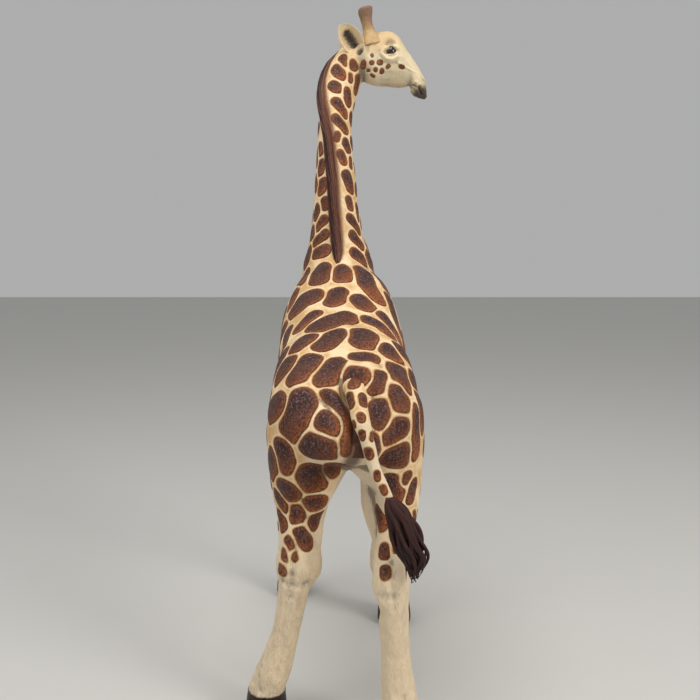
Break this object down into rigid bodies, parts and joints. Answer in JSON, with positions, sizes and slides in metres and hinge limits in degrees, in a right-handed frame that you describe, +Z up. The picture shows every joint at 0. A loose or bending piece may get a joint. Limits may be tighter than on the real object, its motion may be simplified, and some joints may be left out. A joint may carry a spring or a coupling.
{
  "type": "giraffe statue",
  "caption": "Standing decorative giraffe in a walking pose, head turned to its right, built from painted castings plugged together over a steel armature.",
  "frame": {"origin": "centre of the base of the bounding box, on the floor", "axes": "+Z up, the giraffe walks along +Y, its right side is +X and its nose points to +X"},
  "size_m": [0.2544, 0.5394, 0.9303],
  "materials": {
    "patched_coat": "hand-painted cast resin, raised red-brown patches on cream, satin clear coat",
    "leg_coat": "hand-painted cast resin, cream with a grey-brown wash in the hair texture, dark brown hooves",
    "head_coat": "hand-painted cast resin, tan and cream with small brown spots and dark lips",
    "mane_paint": "dark red-brown paint on combed hair texture",
    "tail_paint": "cream paint with small brown spots",
    "tuft_paint": "near-black brown paint on wavy hair texture",
    "eye_gloss": "glossy black inset eye",
    "armature_steel": "bright mild steel rod and wire",
    "hoof_pad_rubber": "thin dark non-slip pad"
  },
  "bodies": {
    "root": {"rear_body_casting": "patched_coat", "front_body_casting": "patched_coat", "neck_casting": "patched_coat", "head_casting": "head_coat", "mane": "mane_paint", "tail_dock": "tail_paint", "tail_tuft": "tuft_paint", "tail_wire": "armature_steel", "neck_rod": "armature_steel", "left_hind_leg": "leg_coat", "left_hind_rod": "armature_steel", "left_hind_pad": "hoof_pad_rubber", "left_fore_leg": "leg_coat", "left_fore_rod": "armature_steel", "left_fore_pad": "hoof_pad_rubber", "left_eye": "eye_gloss", "left_ear": "head_coat", "left_ossicone": "head_coat", "right_hind_leg": "leg_coat", "right_hind_rod": "armature_steel", "right_hind_pad": "hoof_pad_rubber", "right_fore_leg": "leg_coat", "right_fore_rod": "armature_steel", "right_fore_pad": "hoof_pad_rubber", "right_eye": "eye_gloss", "right_ear": "head_coat", "right_ossicone": "head_coat"}
  },
  "joints": []
}
